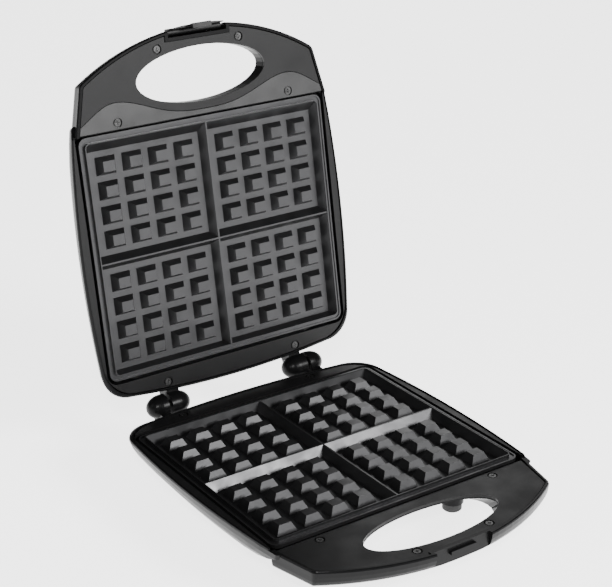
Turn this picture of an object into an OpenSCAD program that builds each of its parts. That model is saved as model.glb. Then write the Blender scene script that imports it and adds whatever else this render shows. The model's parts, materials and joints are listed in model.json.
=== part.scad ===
// Four-slice waffle maker, standing open.
// The y axis of each half starts at the hinge axis and the front is at negative y.
// In each half, depth d is measured away from the plane where the two bodies meet.

/* [Cooking plates] */
// Pocket spacing across one waffle
pocket_x = 25; // [22:0.5:27]
// Pocket spacing along one waffle
pocket_y = 20.9; // [19:0.1:22]
// Centre distance of neighbouring waffles, left to right
waffle_x = 116; // [110:1:120]
// Centre distance of neighbouring waffles, front to back
waffle_y = 99.9; // [96:0.1:102]
// Part of the pocket spacing that a peg covers at its foot
peg_foot = 0.745; // [0.7:0.005:0.8]
// Part of the pocket spacing that a peg covers at its top
peg_top = 0.43; // [0.35:0.01:0.5]
// Height of a peg above the floor of the plate
peg_height = 7.4; // [5:0.1:8]
// Depth of the plate's floor below the meeting plane
floor_depth = 9; // [8.5:0.1:10]
// Thickness of the plate's cast floor
plate_floor = 3.3; // [2.5:0.1:4]

/* [Body] */
// Half width of the body at its widest place
side_half = 132.3; // [131:0.1:135]
// Radius of the bulging sides
side_radius = 1000; // [800:10:1400]
// Radius of the rear corners
corner_radius = 26; // [20:1:30]
// Wall thickness of the housings
wall = 2.6; // [2:0.1:3]
// Clear height of the feet's rubber soles
sole_height = 7.2; // [5:0.1:8]

/* [Handles] */
// Distance from the hinge axis to the front of the handles
reach = 320; // [318:1:324]
// Radius of the arched front edge
front_radius = 206.6; // [200:0.2:215]
// Thickness of each handle
handle_depth = 14.8; // [14.5:0.1:16]
// Half length of the oval hand opening
grip_half_x = 63; // [58:1:65]
// Half width of the oval hand opening
grip_half_y = 23.5; // [20:0.5:24]

/* [Hinge and latch] */
// Angle between the lid's closed and open position
lid_angle = 99.6; // [90:0.1:105]
// Radius of the hinge knuckles
knuckle_radius = 10.7; // [10:0.1:11]
// Radius of the hinge pins
pin_radius = 3.5; // [3:0.1:4]
// Radial running clearance of the lid's knuckles and of the latch
running_gap = 0.05; // [0.02:0.01:0.1]
// Angle by which the open latch swings out from its locked position
latch_angle = 10; // [9:0.5:11]

/* [Hidden] */

eps = 0.01;
far = 400;

// Heights of the assembly above the floor
floor_drop = 42;          // handle meeting plane above the floor
body_rise = 3.2;          // body meeting plane above the handle meeting plane
axis_rise = 3.8;          // hinge axis above the handle meeting plane
hinge_y = 125.1;          // hinge axis behind the middle of the open appliance

// Depth of the handles' meeting plane in each half
base_step = body_rise;
lid_step = -body_rise;

// Plan of the body
widest_y = -130;
body_front_y = -253;
body_lip_front_y = -243.8;
handle_rear_y = -243.5;
cavity_front_y = -246;
under_slope = 0.42;
under_start = [-255.5, 4.5];
slope_wall = 6.6;
corner_y = -41;
side_lean = 0.0032;
rear_share = 1.1;
rear_radius = 875;
corner_x = side_half - pow(corner_y - widest_y, 2) / (2 * side_radius) - corner_radius;
rear_y = corner_y + corner_radius + corner_x * corner_x / (2 * rear_radius);
handle_corner_radius = 7;
handle_side_front = [113.8, -287.5];
handle_side_rear = [123.9, handle_rear_y];
grip_y = -279;

// Depth and inset of each ring of the body's outer skin, from lip to flat bottom
body_skin = [
    [1.2, 1.2], [2, 0.35], [3.15, 0.05], [3.4, 0], [8, 0.9], [13, 2.8], [18, 6.4], [23, 12.5],
    [27, 20], [31, 29], [34.5, 38], [36, 46]
];
lip_depth = body_skin[0][0];
bottom_depth = body_skin[len(body_skin) - 1][0];

// Depth below the handle's plane, and inset, of each ring of the handle's outer skin
handle_skin = [[0.4, 1.2], [1, 0.4], [2, 0], [6, 0.5], [10, 1.6], [12.6, 3], [14, 4.6], [handle_depth, 6.6]];

// Frame and handle cover
ledge_depth = 2.2;
cover_depth = 1.25;
sheet_thickness = 2.4;
frame_inset = 2.4;
seat_inset = 1.9;
cover_inset = 3.6;
cover_seat_inset = 2.7;
pocket_inset = 5.8;
pocket_rear_y = -247;
cover_rear_y = -245;

// Cooking plates
plate_y = -134.5;
rim_y = -137.2;
plate_half_x = 120.4;
plate_half_y = 105;
plate_corner = 7;
ridge_half_x = 115.8;
ridge_half_y = 100.2;
ridge_corner = 4;
ridge_top = 0.4;
ridge_crest = 0.8;
flange_depth = 3.4;
flange_thickness = 2.2;
lip_rise = 0.9;
lip_width = 1.4;
plate_gap = 3;
plate_bottom = floor_depth + plate_floor;
well_floor_x = 2.12 * pocket_x;
well_floor_y = 2.12 * pocket_y;
rib_crest = 1.4;
bottom_half_x = 113.2;
bottom_front_y = -231.8;
bottom_rear_y = -37.6;
rib_drop = 0.6;

// Heater, clamps, reflector
heater_radius = 3.3;
heater_depth = plate_bottom + 0.2 + heater_radius;
heater_half_x = 75;
heater_half_y = 60;
heater_bend = 18;
heater_end_x = 18;
heater_end_bend = 12;
heater_end_y = 24;
clamp_x = 45;
clamp_half_length = 66;
clamp_screw_y = 50;
clamp_width = 10;
clamp_thickness = 1.2;
clamp_depth = heater_depth + heater_radius + 0.2;
reflector_depth = 23.5;
reflector_thickness = 0.8;
reflector_half_x = 91;
reflector_half_y = 66;

// Fasteners
screw_hole = 1.5;
screw_shank = 1.45;
screw_head = 3;
screw_recess = 4.2;
screw_recess_depth = 1.4;
post_radius = 4;
rear_post_end = 13.5;
side_screw = [84.5, -250.5];
lid_front_screw = [39.9, -304.5];
base_front_screw = [34.8, -304.5];
rear_screw = [66.5, -19.5];

// Hinge, symmetric about the middle
lid_knuckle = [50, 71];
base_knuckle = [74, 91];
knuckle_round = 9.8;
knuckle_dome = 14;
pin_span = [56, 86];
base_axis_depth = body_rise - axis_rise;
lid_axis_depth = axis_rise - body_rise;

// Latch, measured from the handles' meeting plane
latch_y = -reach + 4.1;
latch_z = 8;
latch_pin_radius = 1.2;
latch_barrel = 3.2;
latch_half = 26;
latch_face = -reach + 0.6;
latch_inner = -reach + 2.5;
lobe_span = [12, 25];
lobe_end = -2.5;
hook_half = 9;
hook_end = -9.5;
latch_pin_half = 31;
nib_top = -7.3;
nib_y = -reach + 4.7;
lid_recess_half = 28.5;
lid_recess_y = -reach + 7.7;
base_recess_half = 26.5;
base_recess_y = -reach + 5.5;
recess_wall = 3;
lid_recess_depth = 12;
catch_half = 12;
catch_y = -reach + 2.8;
catch_span = [4, 7];

// Feet, gland, electrical parts
foot_places = [[70, -219], [62, -31]];
foot_radius = 8.2;
foot_pad_radius = 9.5;
foot_pad_top = 17;
foot_plug = 2.5;
foot_depth = body_rise + floor_drop;
foot_pad_depth = foot_depth - sole_height;
gland_depth = 13;
gland_y = [-24, -9];
gland_boss = 8.2;
gland_radius = 5.5;
gland_flange = 7.6;
gland_collar = 6.2;
gland_flange_y = -11.5;
cord_hole = 3.6;
light_x = 14;
light_y = -165;
light_radius = 5;
lead_radius = 1.5;
plate_post_x = 96;
plate_post_places = [[-203, 26.8], [-80, 29.2]];   // y, and the depth at which it meets the shell

// ---------- Placing ----------

module on_base() {
    translate([0, hinge_y, floor_drop + body_rise]) mirror([0, 0, 1]) children();
}

module on_lid() {
    translate([0, hinge_y, floor_drop + axis_rise]) rotate([-lid_angle, 0, 0])
        translate([0, 0, body_rise - axis_rise]) children();
}

module left_and_right() {
    children();
    mirror([1, 0, 0]) children();
}

// ---------- Plans ----------

function body_x(y) = side_half - pow(y - widest_y, 2) / (2 * side_radius);

// The sides are upright near the handle and lean in more towards the rear
function side_x(y, inset) = body_x(y) - inset * (1 + side_lean * (y - widest_y));

// Right half of the body's plan, from the front edge to the middle of the rear edge
function body_half(y0, inset, front_round, inner = 0) = let (
    r = min(corner_radius + 1.8 * inset, 50),
    cy = corner_y + corner_radius - rear_share * inset - inner - r,
    cx = side_x(cy, inset) - inner - r,
    top = cy + r,
    crown = (rear_y - corner_y - corner_radius) * pow(min(cx / corner_x, 1), 2)
) concat(
    [for (a = [-90:15:0])
        [side_x(y0, inset) - inner - front_round * (1 - cos(a)), y0 + front_round * (1 + sin(a))]],
    [for (i = [1:12]) let (y = y0 + front_round + (cy - y0 - front_round) * i / 12)
        [side_x(y, inset) - inner, y]],
    [for (a = [10:10:90]) [cx + r * cos(a), cy + r * sin(a)]],
    [for (i = [1:5]) [cx * (1 - i / 5), top + crown * (1 - pow(1 - i / 5, 2))]]
);

function both_halves(half) = let (n = len(half), closed = half[n - 1][0] < 0.001)
    concat(half, [for (i = [n - (closed ? 2 : 1):-1:0]) [-half[i][0], half[i][1]]]);

function body_points(front, inset = 0, front_round = 1) =
    both_halves(body_half(front + inset, inset, front_round));

// Front of the body at a depth: upright at first, then rising from the flat bottom to the handle
function under_y(depth) = under_start[0] + (depth - body_rise - under_start[1]) / under_slope;
function outer_front(ring) = ring[0] < body_rise ? body_lip_front_y + ring[1]
    : max(body_front_y + ring[1], under_y(ring[0]));
function inner_front(ring) = max(cavity_front_y + ring[1] + wall, under_y(ring[0]) + slope_wall);
function lower_round(ring) = ring[0] < body_rise ? 1 : min(3 + 1.2 * ring[1], 30);

// Front arc, side line and the corner circle that touches both
front_centre = [0, -reach + front_radius];
side_run = (handle_side_front - handle_side_rear) / norm(handle_side_front - handle_side_rear);
side_in = [side_run[1], -side_run[0]];
corner_start = handle_side_rear + handle_corner_radius * side_in - front_centre;
corner_b = corner_start * side_run;
corner_c = corner_start * corner_start - pow(front_radius - handle_corner_radius, 2);
handle_corner = front_centre + corner_start + (-corner_b + sqrt(corner_b * corner_b - corner_c)) * side_run;
side_angle = atan2(-side_in[1], -side_in[0]);
front_angle = atan2(handle_corner[1] - front_centre[1], handle_corner[0] - front_centre[0]);

// Right half of the handle's plan, from the rear to the middle of the front arc
function handle_half(inset, rear) = let (
    r = handle_corner_radius - inset,
    foot = handle_side_rear + inset * side_in,
    steps = 14
) concat(
    [foot + (rear - foot[1]) / side_run[1] * side_run],
    [for (i = [0:6]) let (a = side_angle + (front_angle - side_angle) * i / 6)
        handle_corner + r * [cos(a), sin(a)]],
    [for (i = [1:steps]) let (a = front_angle + (-90 - front_angle) * i / steps)
        front_centre + (front_radius - inset) * [cos(a), sin(a)]]
);

function handle_points(inset = 0, rear = handle_rear_y) = both_halves(handle_half(inset, rear));

// The handle's sides lean in less than its front does
function skin_points(ring) = [for (p = handle_points(ring[1])) [p[0] * (1 + 0.006 * max(ring[1] - 0.4, 0)), p[1]]];

module grip_plan(margin = 0) {
    translate([0, grip_y]) polygon([for (a = [0:9:351])
        [(grip_half_x + margin) * cos(a), (grip_half_y + margin) * sin(a)]]);
}

module rounded_plan(half_x, half_y, r) {
    translate([0, rim_y]) offset(r = r) square([2 * (half_x - r), 2 * (half_y - r)], center = true);
}

// S-shaped seam between the lid's handle cover and the panel behind it
function seam_y(x) = let (t = abs(x))
    t < 85 ? -249 - 9.05 * (1 - cos(180 * pow(t / 85, 1.4)))
           : -267.1 + 10.4 * (1 - cos(180 * (t - 85) / 50));

module behind_seam(gap = 0) {
    polygon(concat([for (x = [-128:4:128]) [x, seam_y(x) + gap]], [[128, 0], [-128, 0]]));
}

// ---------- Shells ----------

function backwards(list) = [for (i = [len(list) - 1:-1:0]) list[i]];

// Closed solid through rings of equally many points; each ring is [depth, points]
module loft(rings) {
    n = len(rings[0][1]);
    last = len(rings) - 1;
    polyhedron(
        points = [for (ring = rings) for (p = ring[1]) [p[0], p[1], ring[0]]],
        faces = concat(
            [[for (i = [0:n - 1]) i], [for (i = [n - 1:-1:0]) last * n + i]],
            [for (k = [0:last - 1]) for (i = [0:n - 1]) let (j = (i + 1) % n)
                each [[k * n + i, (k + 1) * n + i, (k + 1) * n + j], [k * n + i, (k + 1) * n + j, k * n + j]]]
        )
    );
}

module body_outside() {
    loft([for (ring = body_skin)
        [ring[0], both_halves(body_half(outer_front(ring), ring[1], lower_round(ring)))]]);
}

module body_inside() {
    last = len(body_skin) - 1;
    loft([for (i = [2:last]) let (ring = body_skin[i])
        [i == last ? bottom_depth - wall : ring[0] - wall * ring[1] / body_skin[last][1],
         both_halves(body_half(inner_front(ring), ring[1], lower_round(ring), wall))]]);
    translate([0, 0, -2]) linear_extrude(ledge_depth + sheet_thickness + 2)
        polygon(body_points(cavity_front_y, seat_inset));
}

module handle_outside(step) {
    loft([for (ring = handle_skin) [step + ring[0], backwards(skin_points(ring))]]);
}

// Room under the cover, and the hollow of the handle round the hand opening
module handle_inside(step, flare) {
    seat = cover_depth + sheet_thickness;
    translate([0, 0, step - 5]) linear_extrude(seat + 7) difference() {
        polygon(handle_points(cover_seat_inset, handle_rear_y + 6));
        grip_plan(wall);
    }
    translate([0, 0, step - 5]) linear_extrude(seat + 5) polygon(handle_points(cover_seat_inset, handle_rear_y + 6));
    difference() {
        translate([0, 0, step]) linear_extrude(handle_depth - wall)
            polygon(handle_points(pocket_inset, pocket_rear_y));
        grip_hole(step, flare, wall);
    }
}

function oval(half_x, front_y, rear_y, margin) = [for (a = [0:9:351])
    [(half_x + margin) * cos(a), (front_y + rear_y) / 2 + ((rear_y - front_y) / 2 + margin) * sin(a)]];

// Hand opening; a flared one widens below, towards the body, so that fingers fit under it
module grip_hole(step, flare, margin = 0) {
    front = grip_y - grip_half_y;
    rear = grip_y + grip_half_y;
    flare_depth = under_start[1];
    end = 19;
    if (flare) loft([
        [step - 10, oval(grip_half_x, front, rear, margin)],
        [step + flare_depth - 0.35 * margin, oval(grip_half_x, front, rear, margin)],
        [step + end, oval(grip_half_x + 5, front, rear + 1.04 * (end - flare_depth) / under_slope, margin)]
    ]);
    else translate([0, 0, step - 10]) linear_extrude(handle_depth + 20) polygon(oval(grip_half_x, front, rear, margin));
}

module screw_post(place, top, bottom) {
    translate([place[0], place[1], top]) cylinder(h = bottom - top, r = post_radius, $fn = 24);
}

module screw_bore(place, top) {
    translate([place[0], place[1], top - 1]) cylinder(h = 9, r = screw_hole, $fn = 24);
}

// Barrel with a flat end towards the other half and a rounded end away from it
module knuckle(flat_x, round_x, axis_depth) {
    length = abs(round_x - flat_x);
    translate([flat_x, 0, axis_depth]) rotate([0, round_x > flat_x ? 90 : -90, 0])
        rotate_extrude($fn = 48) polygon(concat(
            [[0, length], [0, 0], [knuckle_radius, 0]],
            [for (a = [0:10:90]) [knuckle_radius - knuckle_round * (1 - cos(a)),
                                  length - knuckle_dome * (1 - sin(a))]]
        ));
}

// Web that ties a knuckle to the rear wall
module knuckle_web(span, axis_depth, wall_y) {
    translate([span[0], 0, 0]) rotate([90, 0, 90]) linear_extrude(span[1] - span[0]) polygon([
        [0, axis_depth], [-10.4, 1.4], [wall_y, 1.4], [wall_y, 6], [-17.5, 20], [5, axis_depth + 9]
    ]);
}

module pin_bore(span, axis_depth, r) {
    translate([span[0], 0, axis_depth]) rotate([0, 90, 0]) cylinder(h = span[1] - span[0], r = r, $fn = 48);
}

// ---------- Shared parts ----------

// Tapered block between two rectangles, each given as left, right, front, rear
module tapered_block(top, bottom, top_depth, bottom_depth) {
    polyhedron(
        points = [
            [top[0], top[2], top_depth], [top[1], top[2], top_depth],
            [top[1], top[3], top_depth], [top[0], top[3], top_depth],
            [bottom[0], bottom[2], bottom_depth], [bottom[1], bottom[2], bottom_depth],
            [bottom[1], bottom[3], bottom_depth], [bottom[0], bottom[3], bottom_depth]
        ],
        faces = [[0, 1, 2, 3], [7, 6, 5, 4], [0, 4, 5, 1], [1, 5, 6, 2], [2, 6, 7, 3], [3, 7, 4, 0]]
    );
}

// One waffle's hollow: it widens from the floor to the ridge and the dividing ribs
module well(x_side, y_side) {
    cx = x_side * waffle_x / 2;
    cy = plate_y + y_side * waffle_y / 2;
    outer_x = x_side * (ridge_half_x - ridge_crest);
    outer_y = rim_y + y_side * (ridge_half_y - ridge_crest);
    inner_x = x_side * rib_crest / 2;
    inner_y = plate_y + y_side * rib_crest / 2;
    tapered_block(
        [min(outer_x, inner_x), max(outer_x, inner_x), min(outer_y, inner_y), max(outer_y, inner_y)],
        [cx - well_floor_x, cx + well_floor_x, cy - well_floor_y, cy + well_floor_y],
        ridge_top + rib_drop, floor_depth
    );
}

module pegs() {
    for (sx = [-1, 1], sy = [-1, 1], i = [-1.5:1.5], j = [-1.5:1.5])
        translate([sx * waffle_x / 2 + i * pocket_x, plate_y + sy * waffle_y / 2 + j * pocket_y, floor_depth + eps])
            mirror([0, 0, 1]) linear_extrude(peg_height, scale = peg_top / peg_foot)
                square([peg_foot * pocket_x, peg_foot * pocket_y], center = true);
}

module clamp_places() {
    for (x = [-clamp_x, clamp_x], y = [plate_y - clamp_screw_y, plate_y + clamp_screw_y])
        translate([x, y, 0]) children();
}

module waffle_plate() {
    difference() {
        union() {
            translate([0, 0, ridge_top]) linear_extrude(flange_depth + flange_thickness - ridge_top)
                rounded_plan(ridge_half_x, ridge_half_y, ridge_corner);
            tapered_block(
                [-ridge_half_x + 1, ridge_half_x - 1, rim_y - ridge_half_y + 1, rim_y + ridge_half_y - 1],
                [-bottom_half_x, bottom_half_x, bottom_front_y, bottom_rear_y],
                flange_depth + flange_thickness - 1, plate_bottom
            );
            translate([0, 0, flange_depth]) linear_extrude(flange_thickness)
                rounded_plan(plate_half_x, plate_half_y, plate_corner);
            translate([0, 0, flange_depth - lip_rise]) linear_extrude(lip_rise + eps) difference() {
                rounded_plan(plate_half_x, plate_half_y, plate_corner);
                rounded_plan(plate_half_x - lip_width, plate_half_y - lip_width, plate_corner - lip_width);
            }
            clamp_places() translate([0, 0, plate_bottom - 1])
                cylinder(h = clamp_depth - plate_bottom + 1, r = post_radius - 1, $fn = 32);
        }
        translate([0, 0, ridge_top - 1]) linear_extrude(rib_drop + 1 + eps)
            rounded_plan(ridge_half_x - ridge_crest, ridge_half_y - ridge_crest, ridge_corner - ridge_crest);
        for (sx = [-1, 1], sy = [-1, 1]) well(sx, sy);
        clamp_places() translate([0, 0, plate_bottom + 0.8])
            cylinder(h = 20, r = screw_hole, $fn = 24);
    }
    pegs();
}

module rod(length) {
    cylinder(h = length, r = heater_radius, $fn = 32);
}

module rod_bend(bend, from, to) {
    rotate([0, 0, from]) rotate_extrude(angle = to - from, $fn = 48)
        translate([bend, 0]) circle(heater_radius, $fn = 32);
}

// Tubular heater: a rounded loop whose two ends turn to the rear
module heater() {
    straight_x = heater_half_x - heater_bend;
    straight_y = heater_half_y - heater_bend;
    translate([0, plate_y, heater_depth]) {
        translate([-straight_x, -heater_half_y, 0]) rotate([0, 90, 0]) rod(2 * straight_x);
        left_and_right() {
            translate([straight_x, -straight_y, 0]) rod_bend(heater_bend, -90, 0);
            translate([heater_half_x, -straight_y, 0]) rotate([-90, 0, 0]) rod(2 * straight_y);
            translate([straight_x, straight_y, 0]) rod_bend(heater_bend, 0, 90);
            translate([heater_end_x + heater_end_bend, heater_half_y, 0]) rotate([0, 90, 0])
                rod(straight_x - heater_end_x - heater_end_bend);
            translate([heater_end_x + heater_end_bend, heater_half_y + heater_end_bend, 0])
                rod_bend(heater_end_bend, 180, 270);
            translate([heater_end_x, heater_half_y + heater_end_bend, 0]) rotate([-90, 0, 0])
                rod(heater_end_y);
            translate([heater_end_x, heater_half_y + heater_end_bend + heater_end_y, 0])
                rotate([-90, 0, 0]) cylinder(h = 6, r = 1.2, $fn = 24);
        }
    }
}

module heater_clamps() {
    for (x = [-clamp_x, clamp_x]) difference() {
        translate([x - clamp_width / 2, plate_y - clamp_half_length, clamp_depth])
            cube([clamp_width, 2 * clamp_half_length, clamp_thickness]);
        for (y = [-clamp_screw_y, clamp_screw_y])
            translate([x, plate_y + y, clamp_depth - 1]) cylinder(h = 4, r = screw_hole, $fn = 24);
    }
}

// Sheet with four cups that reach down to the clamps
module reflector() {
    cup_depth = clamp_depth + clamp_thickness;
    difference() {
        union() {
            translate([0, 0, reflector_depth]) linear_extrude(reflector_thickness)
                translate([0, plate_y]) offset(r = 12)
                    square([2 * reflector_half_x - 24, 2 * reflector_half_y - 24], center = true);
            clamp_places() translate([0, 0, cup_depth])
                cylinder(h = reflector_depth - cup_depth + eps, r = 6, $fn = 48);
        }
        clamp_places() {
            translate([0, 0, cup_depth + reflector_thickness]) cylinder(h = 6, r = 5.2, $fn = 48);
            translate([0, 0, cup_depth - 1]) cylinder(h = 4, r = screw_hole, $fn = 24);
        }
        translate([0, plate_y, reflector_depth - 1]) cylinder(h = 4, r = 12, $fn = 48);
    }
}

module plate_screws() {
    head = clamp_depth + clamp_thickness + reflector_thickness;
    clamp_places() {
        translate([0, 0, head]) cylinder(h = 2, r = screw_head, $fn = 32);
        translate([0, 0, plate_bottom + 1.5]) cylinder(h = head - plate_bottom - 1.4, r = screw_shank, $fn = 24);
    }
}

// Screw whose dished head sits in a recess of the sheet that it holds
module cover_screw(place, sheet_top) {
    head = sheet_top + screw_recess_depth;
    translate([place[0], place[1], head - 1.2]) difference() {
        cylinder(h = 1.2, r = screw_head, $fn = 32);
        translate([-1.8, -0.4, -1]) cube([3.6, 0.8, 1.6]);
        translate([-0.4, -1.8, -1]) cube([0.8, 3.6, 1.6]);
    }
    translate([place[0], place[1], head - eps]) cylinder(h = 8, r = screw_shank, $fn = 24);
}

module cover_screw_cut(place, sheet_top) {
    translate([place[0], place[1], sheet_top - 1]) cylinder(h = screw_recess_depth + 1, r = screw_recess, $fn = 32);
    translate([place[0], place[1], sheet_top - 1]) cylinder(h = 9, r = screw_hole, $fn = 24);
}

// Ledge along the sides and the rear of one half
module side_and_rear_frame() {
    translate([0, 0, ledge_depth]) linear_extrude(sheet_thickness) difference() {
        intersection() {
            polygon(body_points(cavity_front_y, frame_inset));
            translate([-far / 2, body_lip_front_y + 1.5]) square([far, far]);
        }
        rounded_plan(plate_half_x + plate_gap, plate_half_y + plate_gap, plate_corner + plate_gap);
        translate([-plate_half_x - plate_gap, body_front_y - 10])
            square([2 * (plate_half_x + plate_gap), 60]);
    }
}

module handle_sheet(step) {
    translate([0, 0, step + cover_depth]) linear_extrude(sheet_thickness) difference() {
        polygon(handle_points(cover_inset, cover_rear_y));
        grip_plan(0.2);
        children();
    }
}

module lead(points) {
    for (i = [0:len(points) - 2]) {
        run = points[i + 1] - points[i];
        translate(points[i]) rotate([0, acos(run[2] / norm(run)), atan2(run[1], run[0])])
            cylinder(h = norm(run), r = lead_radius, $fn = 20);
    }
    if (len(points) > 2) for (i = [1:len(points) - 2])
        translate(points[i]) sphere(lead_radius + 0.2, $fn = 20);
}

module housing_core(step, flare) {
    difference() {
        union() {
            body_outside();
            handle_outside(step);
        }
        body_inside();
        handle_inside(step, flare);
    }
}

module plate_posts() {
    for (x = [-plate_post_x, plate_post_x], post = plate_post_places) translate([x, post[0], plate_bottom])
        cylinder(h = post[1] - plate_bottom, r = post_radius, $fn = 24);
}

// ---------- Base ----------

module base_recess_box(extra = 0) {
    translate([-base_recess_half - extra, -reach - 10, base_step - 5])
        cube([2 * (base_recess_half + extra), base_recess_y + reach + 10 + extra, handle_depth + 10]);
}

module catch_bar() {
    translate([-catch_half, catch_y, base_step + catch_span[0]])
        cube([2 * catch_half, base_recess_y - catch_y + 1, catch_span[1] - catch_span[0]]);
}

module base_housing() {
    front_post_top = base_step + cover_depth + sheet_thickness;
    rear_post_top = ledge_depth + sheet_thickness;
    color("#141415") on_base() difference() {
        union() {
            housing_core(base_step, true);
            intersection() {
                handle_outside(base_step);
                base_recess_box(recess_wall);
            }
            plate_posts();
            left_and_right() {
                screw_post(side_screw, front_post_top, base_step + handle_depth - 1);
                screw_post(base_front_screw, front_post_top, base_step + handle_depth - 1);
                screw_post(rear_screw, rear_post_top, rear_post_end);
                knuckle(base_knuckle[0], base_knuckle[1], base_axis_depth);
                knuckle_web([base_knuckle[0] + 1, base_knuckle[1] - 7], base_axis_depth, -13.6);
                for (at = foot_places) translate([at[0], at[1], foot_pad_top])
                    cylinder(h = foot_pad_depth - foot_pad_top, r = foot_pad_radius, $fn = 48);
            }
            translate([0, gland_y[0], gland_depth]) rotate([-90, 0, 0])
                cylinder(h = gland_flange_y - gland_y[0], r = gland_boss, $fn = 48);
        }
        difference() {
            base_recess_box();
            catch_bar();
        }
        grip_hole(base_step, true);
        left_and_right() {
            screw_bore(side_screw, front_post_top);
            screw_bore(base_front_screw, front_post_top);
            screw_bore(rear_screw, rear_post_top);
            pin_bore([base_knuckle[0] - 1, pin_span[1]], base_axis_depth, pin_radius);
            for (at = foot_places) translate([at[0], at[1], foot_pad_depth - 5])
                cylinder(h = 6, r = foot_plug, $fn = 32);
        }
        translate([0, 0, gland_depth]) rotate([-90, 0, 0]) {
            translate([0, 0, gland_y[0] - 1]) cylinder(h = 30, r = gland_radius + 0.05, $fn = 48);
            translate([0, 0, gland_flange_y]) cylinder(h = 10, r = gland_flange + 0.3, $fn = 48);
        }
    }
}
base_housing();

module base_frame() {
    color("#1c1c1d") on_base() difference() {
        side_and_rear_frame();
        left_and_right() cover_screw_cut(rear_screw, ledge_depth);
    }
}
base_frame();

module base_handle_cover() {
    color("#2b2b2c") on_base() difference() {
        handle_sheet(base_step) translate([-base_recess_half - recess_wall - 0.4, -reach - 10])
            square([2 * (base_recess_half + recess_wall + 0.4), base_recess_y + recess_wall + reach + 10.4]);
        left_and_right() {
            cover_screw_cut(side_screw, base_step + cover_depth);
            cover_screw_cut(base_front_screw, base_step + cover_depth);
        }
    }
}
base_handle_cover();

module lower_plate() {
    color("#3a3a3b") on_base() waffle_plate();
}
lower_plate();

module lower_heater() {
    color("#6f6f6c") on_base() heater();
}
lower_heater();

module lower_heater_clamps() {
    color("#b5b5b0") on_base() heater_clamps();
}
lower_heater_clamps();

module lower_reflector() {
    color("#c8c8c6") on_base() reflector();
}
lower_reflector();

module thermostat() {
    color("#d9cfb8") on_base() translate([0, plate_y, plate_bottom]) {
        cylinder(h = 5, r = 10, $fn = 48);
        cylinder(h = 9, r = 6, $fn = 48);
        left_and_right() translate([2, -0.4, 5]) cube([3, 0.8, 9]);
    }
}
thermostat();

module thermal_fuse() {
    color("#e8e4da") on_base() translate([-9, plate_y - 30, plate_bottom + 2.2]) rotate([0, 90, 0]) {
        cylinder(h = 18, r = 2.2, $fn = 32);
        translate([0, 0, -8]) cylinder(h = 34, r = 0.6, $fn = 16);
    }
}
thermal_fuse();

module terminal_block() {
    color("#ece6d6") on_base() translate([-18, plate_y + 42, bottom_depth - wall - 8]) difference() {
        cube([36, 12, 8]);
        for (x = [6, 18, 30]) {
            translate([x, -1, 4]) rotate([-90, 0, 0]) cylinder(h = 14, r = lead_radius + 0.3, $fn = 24);
            translate([x, 6, -1]) cylinder(h = 4, r = 1.8, $fn = 24);
        }
    }
}
terminal_block();

module base_leads() {
    block_depth = bottom_depth - wall - 4.5;
    color("#b9412e") on_base() {
        for (side = [-1, 1]) lead([
            [12 * side, plate_y + 54, block_depth], [12 * side, -58, block_depth],
            [2 * side, -36, gland_depth], [2 * side, gland_y[0] - 3, gland_depth]
        ]);
    }
}
base_leads();

module cord_gland() {
    color("#1a1a1a") on_base() translate([0, gland_y[0] - 2, gland_depth]) rotate([-90, 0, 0]) difference() {
        union() {
            cylinder(h = 2, r = gland_collar, $fn = 48);
            cylinder(h = gland_flange_y - gland_y[0] + 2, r = gland_radius, $fn = 48);
            translate([0, 0, gland_flange_y - gland_y[0] + 2]) cylinder(h = 2.4, r = gland_flange, $fn = 48);
        }
        translate([0, 0, -1]) cylinder(h = 30, r = cord_hole, $fn = 48);
    }
}
cord_gland();

module rubber_feet() {
    color("#202020") on_base() left_and_right() for (at = foot_places) translate([at[0], at[1], 0]) {
        translate([0, 0, foot_pad_depth]) cylinder(h = sole_height - 1, r = foot_radius, $fn = 48);
        translate([0, 0, foot_pad_depth + sole_height - 1]) cylinder(h = 1, r1 = foot_radius, r2 = foot_radius - 1, $fn = 48);
        translate([0, 0, foot_pad_depth - 4.5]) cylinder(h = 5, r = foot_plug - 0.05, $fn = 32);
    }
}
rubber_feet();

module base_screws() {
    color("#8f8f8d") on_base() left_and_right() {
        cover_screw(side_screw, base_step + cover_depth);
        cover_screw(base_front_screw, base_step + cover_depth);
        cover_screw(rear_screw, ledge_depth);
    }
}
base_screws();

module lower_plate_screws() {
    color("#8f8f8d") on_base() plate_screws();
}
lower_plate_screws();

module hinge_pins() {
    color("#9a9a98") on_base() left_and_right()
        pin_bore(pin_span, base_axis_depth, pin_radius);
}
hinge_pins();

// ---------- Lid ----------

module lid_recess_box(extra = 0) {
    translate([-lid_recess_half - extra, -reach - 10, lid_step - 5])
        cube([2 * (lid_recess_half + extra), lid_recess_y + reach + 10 + extra, lid_recess_depth + 5 + extra / 2]);
}

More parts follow.
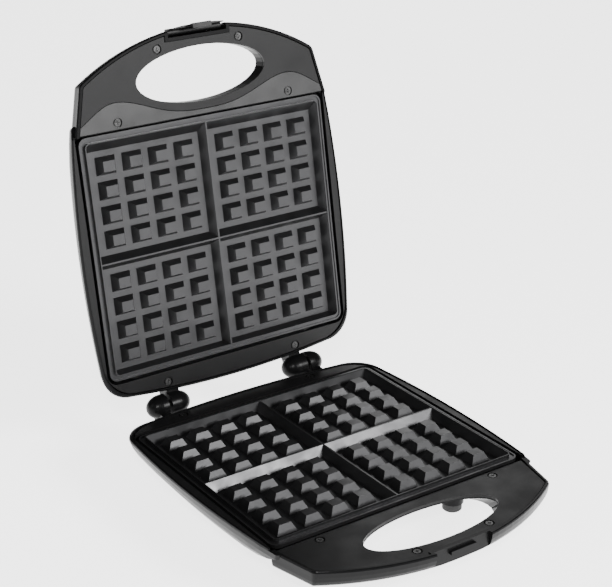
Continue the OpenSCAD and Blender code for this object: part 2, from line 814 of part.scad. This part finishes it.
module lid_housing() {
    front_post_top = lid_step + cover_depth + sheet_thickness;
    rear_post_top = ledge_depth + sheet_thickness;
    color("#141415") on_lid() difference() {
        union() {
            housing_core(lid_step, false);
            intersection() {
                handle_outside(lid_step);
                lid_recess_box(recess_wall);
            }
            plate_posts();
            left_and_right() {
                screw_post(side_screw, front_post_top, lid_step + handle_depth - 1);
                screw_post(lid_front_screw, front_post_top, lid_step + handle_depth - 1);
                screw_post(rear_screw, rear_post_top, rear_post_end);
                knuckle(lid_knuckle[1], lid_knuckle[0], lid_axis_depth);
                knuckle_web([lid_knuckle[0] + 8, lid_knuckle[1] - 1], lid_axis_depth, -12.3);
            }
        }
        lid_recess_box();
        grip_hole(lid_step, false);
        left_and_right() {
            screw_bore(side_screw, front_post_top);
            screw_bore(lid_front_screw, front_post_top);
            screw_bore(rear_screw, rear_post_top);
            pin_bore([pin_span[0] - 0.3, lid_knuckle[1] + 1], lid_axis_depth, pin_radius + running_gap);
            translate([light_x, light_y, bottom_depth - wall - 1]) cylinder(h = 6, r = light_radius + 0.15, $fn = 48);
        }
        translate([0, latch_y, lid_step + latch_z]) rotate([0, 90, 0])
            cylinder(h = 2 * latch_pin_half, r = latch_pin_radius, center = true, $fn = 32);
    }
}
lid_housing();

module lid_frame() {
    color("#1c1c1d") on_lid() difference() {
        side_and_rear_frame();
        left_and_right() cover_screw_cut(rear_screw, ledge_depth);
    }
}
lid_frame();

module lid_plate_trim() {
    color("#2b2b2c") on_lid() difference() {
        intersection() {
            handle_sheet(lid_step);
            translate([0, 0, lid_step - 1]) linear_extrude(10) behind_seam(0.3);
        }
        left_and_right() cover_screw_cut(side_screw, lid_step + cover_depth);
    }
}
lid_plate_trim();

module lid_handle_cover() {
    color("#2b2b2c") on_lid() difference() {
        handle_sheet(lid_step) {
            translate([-lid_recess_half - recess_wall - 0.4, -reach - 10])
                square([2 * (lid_recess_half + recess_wall + 0.4), lid_recess_y + recess_wall + reach + 10.4]);
            behind_seam(-0.3);
        }
        left_and_right() cover_screw_cut(lid_front_screw, lid_step + cover_depth);
    }
}
lid_handle_cover();

module upper_plate() {
    color("#3a3a3b") on_lid() waffle_plate();
}
upper_plate();

module upper_heater() {
    color("#6f6f6c") on_lid() heater();
}
upper_heater();

module upper_heater_clamps() {
    color("#b5b5b0") on_lid() heater_clamps();
}
upper_heater_clamps();

module upper_reflector() {
    color("#c8c8c6") on_lid() reflector();
}
upper_reflector();

module lid_leads() {
    run_depth = reflector_depth + reflector_thickness + lead_radius;
    color("#b9412e") on_lid() left_and_right()
        lead([[light_x, light_y + 3.5, run_depth + 0.3], [light_x, -46, run_depth + 0.3]]);
}
lid_leads();

module light() {
    inner = bottom_depth - wall;
    translate([0, light_y, inner - 1.5]) cylinder(h = 1.5, r = light_radius + 1.5, $fn = 48);
    translate([0, light_y, inner]) cylinder(h = wall + 0.4, r = light_radius, $fn = 48);
    translate([0, light_y, inner + wall + 0.4]) cylinder(h = 0.6, r1 = light_radius, r2 = light_radius - 1, $fn = 48);
}

module power_light() {
    color("#c03020") on_lid() translate([-light_x, 0, 0]) light();
}
power_light();

module ready_light() {
    color("#35a04a") on_lid() translate([light_x, 0, 0]) light();
}
ready_light();

module indicator_lamps() {
    color("#e6e2d8") on_lid() left_and_right()
        translate([light_x, light_y, reflector_depth + reflector_thickness])
            cylinder(h = bottom_depth - wall - 1.5 - reflector_depth - reflector_thickness, r = 3, $fn = 32);
}
indicator_lamps();

module lid_screws() {
    color("#8f8f8d") on_lid() left_and_right() {
        cover_screw(side_screw, lid_step + cover_depth);
        cover_screw(lid_front_screw, lid_step + cover_depth);
        cover_screw(rear_screw, ledge_depth);
    }
}
lid_screws();

module upper_plate_screws() {
    color("#8f8f8d") on_lid() plate_screws();
}
upper_plate_screws();

// ---------- Latch ----------

module latch_pin() {
    color("#9a9a98") on_lid() translate([0, latch_y, lid_step + latch_z]) rotate([0, 90, 0])
        cylinder(h = 2 * latch_pin_half - 0.4, r = latch_pin_radius, center = true, $fn = 32);
}
latch_pin();

// Depth grows away from the meeting plane, so the hook reaches to negative depth
module latch_clip() {
    color("#232324") on_lid() translate([0, latch_y, lid_step + latch_z]) rotate([-latch_angle, 0, 0])
        translate([0, -latch_y, -latch_z]) difference() {
            union() {
                translate([-latch_half, latch_y, latch_z]) rotate([0, 90, 0])
                    cylinder(h = 2 * latch_half, r = latch_barrel, $fn = 48);
                intersection() {
                    union() {
                        translate([-latch_half, latch_face, 0])
                            cube([2 * latch_half, latch_inner - latch_face, latch_z]);
                        left_and_right() translate([lobe_span[0], latch_face, lobe_end])
                            cube([lobe_span[1] - lobe_span[0], latch_inner - latch_face, latch_z]);
                        translate([0, latch_inner, 0]) rotate([90, 0, 0])
                            linear_extrude(latch_inner - latch_face) polygon([
                                [-hook_half, hook_end], [hook_half, hook_end],
                                [hook_half - 3, latch_z], [3 - hook_half, latch_z]
                            ]);
                    }
                    translate([0, 0, hook_end - 1]) linear_extrude(30) polygon(handle_points(0.3));
                }
                translate([-hook_half, latch_face, hook_end])
                    cube([2 * hook_half, nib_y - latch_face, nib_top - hook_end]);
            }
            translate([-far / 2, latch_y, latch_z]) rotate([0, 90, 0])
                cylinder(h = far, r = latch_pin_radius + running_gap, $fn = 32);
        }
}
latch_clip();
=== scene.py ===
import json
import math

import bpy
from mathutils import Matrix, Vector

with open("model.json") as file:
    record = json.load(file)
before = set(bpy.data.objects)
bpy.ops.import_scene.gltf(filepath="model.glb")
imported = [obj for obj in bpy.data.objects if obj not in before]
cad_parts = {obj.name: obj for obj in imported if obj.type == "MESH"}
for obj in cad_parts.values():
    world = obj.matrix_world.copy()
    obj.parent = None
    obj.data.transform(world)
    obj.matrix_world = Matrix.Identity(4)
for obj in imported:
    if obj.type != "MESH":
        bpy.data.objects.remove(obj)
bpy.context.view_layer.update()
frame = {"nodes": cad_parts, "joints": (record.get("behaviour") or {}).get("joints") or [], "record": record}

# ---------- Camera: the hinge's place and the viewpoint measured from it ----------

hinge = next(j for j in frame["joints"] if j["name"] == "lid_hinge")
hinge_at = Vector(hinge["pos_m"])
AZIMUTH, ELEVATION, ROLL = math.radians(-34.37), math.radians(22.81), math.radians(0.34)
camera_at = Vector((0, hinge_at.y, hinge_at.z - 0.0038)) + Vector((-0.6621, -1.0787, 0.6227))

back = Vector((math.sin(AZIMUTH) * math.cos(ELEVATION), -math.cos(AZIMUTH) * math.cos(ELEVATION),
               math.sin(ELEVATION)))
side = Vector((math.cos(AZIMUTH), math.sin(AZIMUTH), 0))
above = back.cross(side)
camera_data = bpy.data.cameras.new("camera")
camera_data.sensor_width = 36
camera_data.lens = 36 * 1571 / 612
camera_data.clip_end = 50
camera = bpy.data.objects.new("camera", camera_data)
bpy.context.scene.collection.objects.link(camera)
turn = Matrix((side, above, back)).transposed()
camera.matrix_world = Matrix.Translation(camera_at) @ (turn @ Matrix.Rotation(-ROLL, 3, "Z")).to_4x4()
bpy.context.scene.camera = camera


# ---------- Materials ----------

def new_material(name, color, rough, metallic=0.0, coat=0.0, specular=0.5):
    m = bpy.data.materials.new(name)
    m.use_nodes = True
    shader = m.node_tree.nodes["Principled BSDF"]
    shader.inputs["Base Color"].default_value = (*color, 1)
    shader.inputs["Roughness"].default_value = rough
    shader.inputs["Metallic"].default_value = metallic
    shader.inputs["Coat Weight"].default_value = coat
    shader.inputs["Specular IOR Level"].default_value = specular
    return m


def noise(m, scale, detail=3.0, where=(0, 0)):
    tree = m.node_tree
    coords = tree.nodes.new("ShaderNodeTexCoord")
    tex = tree.nodes.new("ShaderNodeTexNoise")
    tex.inputs["Scale"].default_value = scale
    tex.inputs["Detail"].default_value = detail
    tree.links.new(coords.outputs["Object"], tex.inputs["Vector"])
    return tex


def ramp_of(m, tex, low, high, start=0.35, end=0.65):
    ramp = m.node_tree.nodes.new("ShaderNodeValToRGB")
    ramp.color_ramp.elements[0].position = start
    ramp.color_ramp.elements[1].position = end
    ramp.color_ramp.elements[0].color = low if len(low) == 4 else (*low, 1)
    ramp.color_ramp.elements[1].color = high if len(high) == 4 else (*high, 1)
    m.node_tree.links.new(tex.outputs["Fac"], ramp.inputs["Fac"])
    return ramp


def grain(m, scale, depth, strength=0.5):
    """Fine surface texture as bump."""
    tex = noise(m, scale, 2.0)
    bump = m.node_tree.nodes.new("ShaderNodeBump")
    bump.inputs["Distance"].default_value = depth
    bump.inputs["Strength"].default_value = strength
    m.node_tree.links.new(tex.outputs["Fac"], bump.inputs["Height"])
    m.node_tree.links.new(bump.outputs["Normal"], m.node_tree.nodes["Principled BSDF"].inputs["Normal"])
    return tex


def tint(m, scale, low, high):
    """Colour that drifts a little over the surface."""
    ramp = ramp_of(m, noise(m, scale), low, high)
    m.node_tree.links.new(ramp.outputs["Color"], m.node_tree.nodes["Principled BSDF"].inputs["Base Color"])


def polish(m, scale, low, high):
    """Roughness that drifts between two values, as handling and wiping leave it."""
    ramp = ramp_of(m, noise(m, scale), (low,) * 3, (high,) * 3)
    m.node_tree.links.new(ramp.outputs["Color"], m.node_tree.nodes["Principled BSDF"].inputs["Roughness"])


casing = new_material("casing", (0.004, 0.004, 0.0042), 0.3, specular=0.1)
polish(casing, 14, 0.28, 0.31)
panel = new_material("panel", (0.0055, 0.0055, 0.0057), 0.44, specular=0.2)
grain(panel, 2600, 0.00003)
polish(panel, 45, 0.36, 0.46)
trim_panel = new_material("trim_panel", (0.017, 0.017, 0.0173), 0.34, specular=0.45)
grain(trim_panel, 2600, 0.00002)
polish(trim_panel, 45, 0.28, 0.38)
nonstick = new_material("nonstick", (0.046, 0.046, 0.0474), 0.32, metallic=0.85)
grain(nonstick, 1800, 0.00003)
polish(nonstick, 60, 0.3, 0.4)
black_steel = new_material("black_steel", (0.06, 0.06, 0.06), 0.3, metallic=0.9)
polish(black_steel, 300, 0.24, 0.4)
rubber = new_material("rubber", (0.012, 0.012, 0.012), 0.7)
grain(rubber, 2000, 0.00005)
steel = new_material("steel", (0.45, 0.45, 0.45), 0.3, metallic=1.0)
grain(steel, 3000, 0.00003)
heater_tube = new_material("heater_tube", (0.18, 0.17, 0.16), 0.45, metallic=1.0)
tint(heater_tube, 50, (0.12, 0.11, 0.11), (0.25, 0.22, 0.19))
bright_sheet = new_material("bright_sheet", (0.7, 0.7, 0.69), 0.25, metallic=1.0)
grain(bright_sheet, 700, 0.00006)
insulator = new_material("insulator", (0.62, 0.56, 0.45), 0.4)
tint(insulator, 80, (0.58, 0.52, 0.42), (0.66, 0.6, 0.5))
wire = new_material("wire", (0.4, 0.05, 0.03), 0.45)
grain(wire, 1500, 0.00004)
red_lens = new_material("red_lens", (0.5, 0.02, 0.01), 0.12)
polish(red_lens, 200, 0.08, 0.16)
green_lens = new_material("green_lens", (0.03, 0.35, 0.07), 0.12)
polish(green_lens, 200, 0.08, 0.16)
lamp = new_material("lamp", (0.85, 0.84, 0.8), 0.05)
lamp.node_tree.nodes["Principled BSDF"].inputs["Transmission Weight"].default_value = 0.9
polish(lamp, 100, 0.03, 0.08)

LOOKS = {
    "casing": casing, "panel": panel, "nonstick": nonstick, "heater_tube": heater_tube,
    "sheet_steel": bright_sheet, "reflector_sheet": bright_sheet, "steel": steel, "black_steel": black_steel,
    "insulator": insulator, "wire": wire, "rubber": rubber, "red_lens": red_lens,
    "green_lens": green_lens, "lamp": lamp,
}
SLOTS = {s["node"]: s["material_slot"] for s in frame["record"]["subparts"]}
OWN_LOOK = {"lid_plate_trim": trim_panel}


def bevel(obj, width, angle=30, segments=2):
    mod = obj.modifiers.new("bevel", "BEVEL")
    mod.width = width
    mod.segments = segments
    mod.limit_method = "ANGLE"
    mod.angle_limit = math.radians(angle)
    mod.use_clamp_overlap = True


BEVELS = {
    "base_handle_cover": 0.0004, "lid_handle_cover": 0.0004, "lid_plate_trim": 0.0004,
    "base_frame": 0.0004, "lid_frame": 0.0004, "lower_plate": 0.0007, "upper_plate": 0.0007,
    "latch_clip": 0.0004,
}

for name, obj in frame["nodes"].items():
    obj.data.materials.clear()
    obj.data.materials.append(OWN_LOOK.get(name) or LOOKS[SLOTS[name]])
    if name in BEVELS:
        bevel(obj, BEVELS[name])

# ---------- Floor and light ----------

floor_mesh = bpy.data.meshes.new("floor")
floor_mesh.from_pydata([(-8, -8, 0), (8, -8, 0), (8, 8, 0), (-8, 8, 0)], [], [(0, 1, 2, 3)])
floor = bpy.data.objects.new("floor", floor_mesh)
bpy.context.scene.collection.objects.link(floor)
floor.location.z = -0.0002
floor_look = new_material("floor", (0.9, 0.9, 0.9), 0.9)
floor_shader = floor_look.node_tree.nodes["Principled BSDF"]
floor_shader.inputs["Emission Color"].default_value = (1, 1, 1, 1)
floor_shader.inputs["Emission Strength"].default_value = 3.0
floor.data.materials.append(floor_look)

world = bpy.data.worlds.new("world")
world.use_nodes = True
world.node_tree.nodes["Background"].inputs["Color"].default_value = (1, 1, 1, 1)
world.node_tree.nodes["Background"].inputs["Strength"].default_value = 0.1
bpy.context.scene.world = world


def area_light(name, at, aim, size, power):
    data = bpy.data.lights.new(name, "AREA")
    data.shape = "RECTANGLE"
    data.size, data.size_y = size
    data.energy = power
    obj = bpy.data.objects.new(name, data)
    bpy.context.scene.collection.objects.link(obj)
    obj.location = at
    obj.rotation_euler = (Vector(aim) - Vector(at)).to_track_quat("-Z", "Y").to_euler()
    return obj


area_light("front_right", (1.1, -2.2, 1.3), (0, 0, 0.3), (0.9, 0.7), 95)
area_light("behind_right", (1.4, 1.9, 1.2), (0, -0.1, 0.05), (1.2, 0.8), 9)
area_light("near_camera", (-0.9, -1.3, 1.2), (0, 0, 0.2), (0.2, 0.2), 22)
area_light("left_strip", (-1.5, 0.3, 0.8), (0, 0, 0.2), (0.25, 1.2), 3)
